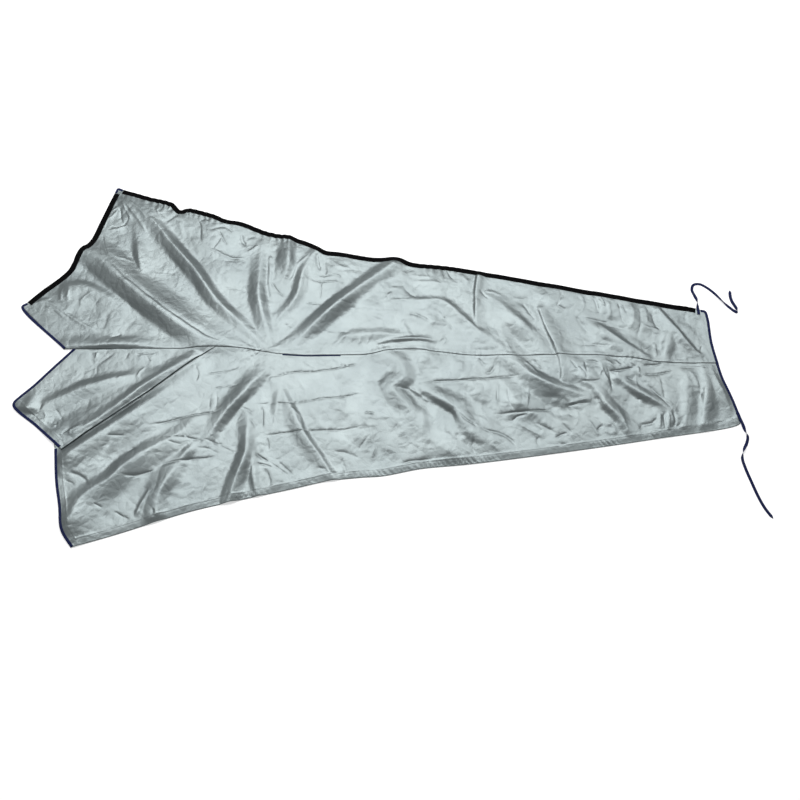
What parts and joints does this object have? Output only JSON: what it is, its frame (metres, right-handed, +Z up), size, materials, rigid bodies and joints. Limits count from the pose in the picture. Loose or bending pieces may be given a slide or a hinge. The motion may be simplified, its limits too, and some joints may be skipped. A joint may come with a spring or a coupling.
{
  "type": "boom sail cover",
  "caption": "Boom sail cover of silver-grey coated cloth laid out flat, with a wide mast end, a lapped centre seam, black closing tape, navy bindings and ribbon ties at its narrow aft end.",
  "frame": {"origin": "middle of the cover's footprint on the floor it lies on, without its ties", "axes": "+X along the centre seam from the wide mast end to the narrow aft end, +Y towards the half with the closing tape, +Z up through the cloth's outside"},
  "size_m": [3.77, 2.074, 0.0397],
  "materials": {
    "silver_cloth": "satin coated polyester cloth",
    "black_tape": "matte hook-and-loop tape",
    "navy_binding": "woven polyester binding tape",
    "navy_ribbon": "woven polyester ribbon"
  },
  "bodies": {
    "root": {"upper_panel": "silver_cloth", "lower_panel": "silver_cloth", "long_tape": "black_tape", "front_tape": "black_tape", "peak_binding": "navy_binding", "upper_collar_binding": "navy_binding", "lower_collar_binding": "navy_binding", "lower_front_binding": "navy_binding", "aft_binding": "navy_binding", "upper_tie": "navy_ribbon", "lower_tie": "navy_ribbon"}
  },
  "joints": []
}
